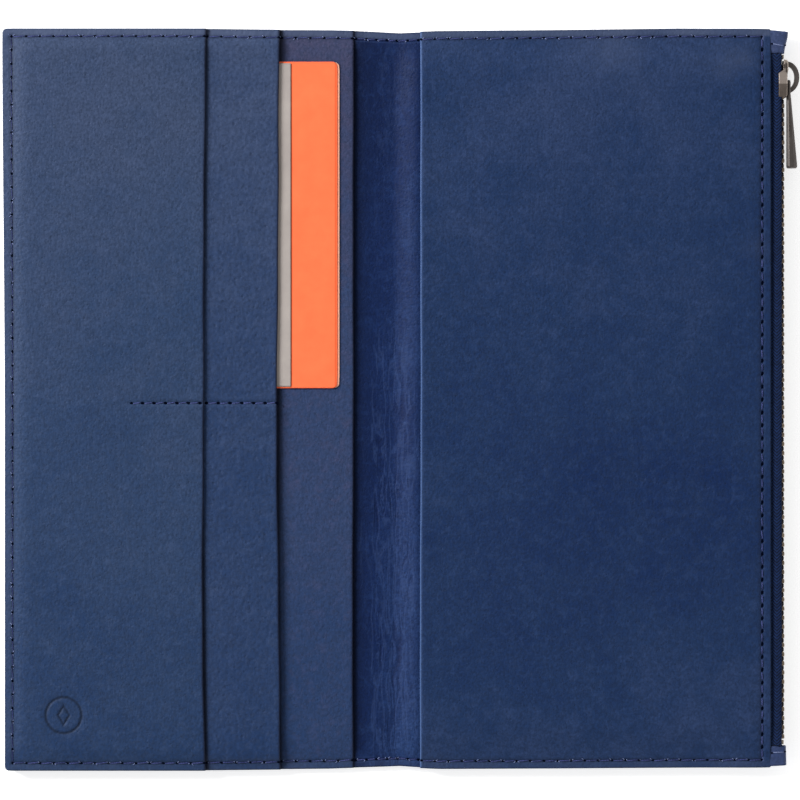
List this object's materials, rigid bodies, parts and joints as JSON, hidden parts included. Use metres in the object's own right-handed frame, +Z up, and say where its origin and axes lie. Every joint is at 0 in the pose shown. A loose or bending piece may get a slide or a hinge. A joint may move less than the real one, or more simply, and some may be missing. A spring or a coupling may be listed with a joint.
{
  "type": "passport holder",
  "caption": "Open bifold travel wallet in leather with stepped card pockets and a folded leaflet on one half, a document pocket and a zip pocket on the other.",
  "frame": {"origin": "middle of the spine's outer face, with the wallet lying open on its outer leather", "axes": "+X from the spine towards the zip edge, +Y along the spine towards the end where the closed slider stands, +Z up out of the pockets"},
  "size_m": [0.2087, 0.195, 0.0058],
  "materials": {
    "cover_leather": "fine grained, low sheen",
    "spine_leather": "smooth, creased along the folds",
    "pocket_leather": "fine pebbled grain, low sheen",
    "panel_leather": "fine grained, light scuffs",
    "thread": "twisted, waxed",
    "board": "plain",
    "lining_cloth": "plain weave",
    "zip_tape": "herringbone weave",
    "zip_teeth_metal": "dark nickel, worn bright",
    "gunmetal": "gunmetal plating",
    "paper_cream": "satin",
    "paper_orange": "satin",
    "paper_grey": "satin"
  },
  "bodies": {
    "back_half": {"cover_back": "cover_leather", "back_board": "board", "zip_pocket_lining": "lining_cloth", "zip_pocket_divider": "lining_cloth", "gutter_lining_back": "spine_leather", "document_panel": "panel_leather", "stitching_panel": "thread", "stitching_cover_back": "thread", "zip_tape_upper": "zip_tape", "zip_tape_lower": "zip_tape", "zip_top_stop_upper": "zip_teeth_metal", "zip_top_stop_lower": "zip_teeth_metal", "zip_bottom_stop": "zip_teeth_metal", "zip_end_tab_top": "pocket_leather", "zip_end_tab_bottom": "pocket_leather", "stitching_end_tabs": "thread"},
    "spine": {"cover_spine": "cover_leather", "gutter_lining_spine": "spine_leather", "stitching_spine": "thread"},
    "front_half": {"cover_front": "cover_leather", "front_board": "board", "front_lining": "lining_cloth", "gutter_lining_front": "spine_leather", "card_pocket_rear": "pocket_leather", "card_pocket_middle": "pocket_leather", "card_pocket_front": "pocket_leather", "stitching_pockets": "thread", "stitching_card_divider": "thread", "stitching_cover_front": "thread"},
    "leaflet": {"leaflet_back_page": "paper_cream", "leaflet_cover": "paper_orange", "leaflet_front_page": "paper_grey"},
    "zip_slider": {"slider_body": "gunmetal", "slider_bridge": "gunmetal"},
    "zip_pull": {"pull_tab": "gunmetal"},
    "zip_mouth_upper": {"zip_tape_edge_upper": "zip_tape", "zip_teeth_upper": "zip_teeth_metal"},
    "zip_mouth_lower": {"zip_tape_edge_lower": "zip_tape", "zip_teeth_lower": "zip_teeth_metal"}
  },
  "joints": [
    {"name": "cover_fold", "type": "hinge", "parent": "spine", "child": "front_half", "pos_m": [-0.0051, 0, 0.0005], "axis": [0, 1, 0], "range_deg": [0, 90]},
    {"name": "spine_fold", "type": "hinge", "parent": "back_half", "child": "spine", "pos_m": [0.0051, 0, 0.0005], "axis": [0, 1, 0], "range_deg": [0, 90]},
    {"name": "leaflet_slide", "type": "slide", "parent": "front_half", "child": "leaflet", "axis": [1, 0, 0], "range_m": [-0.03, 0.006]},
    {"name": "zip_slide", "type": "slide", "parent": "back_half", "child": "zip_slider", "axis": [0, -1, 0], "range_m": [0, 0.168]},
    {"name": "pull_swing", "type": "hinge", "parent": "zip_slider", "child": "zip_pull", "pos_m": [0.10555, 0.08465, 0.00265], "axis": [0, 0, 1], "range_deg": [0, 130]},
    {"name": "zip_mouth_upper_open", "type": "hinge", "parent": "back_half", "child": "zip_mouth_upper", "pos_m": [0.1012, 0, 0.00395], "axis": [0, -1, 0], "range_deg": [0, 51], "deforming": ["zip_tape_edge_upper", "zip_teeth_upper"]},
    {"name": "zip_mouth_lower_open", "type": "hinge", "parent": "back_half", "child": "zip_mouth_lower", "pos_m": [0.1012, 0, 0.00135], "axis": [0, 1, 0], "range_deg": [0, 13], "deforming": ["zip_tape_edge_lower", "zip_teeth_lower"]}
  ],
  "couplings": [
    {"joint": "spine_fold", "follows": "cover_fold", "ratio": 1},
    {"joint": "zip_mouth_upper_open", "follows": "zip_slide", "rad_per_m": 5.1944},
    {"joint": "zip_mouth_lower_open", "follows": "zip_slide", "rad_per_m": 1.2467}
  ]
}
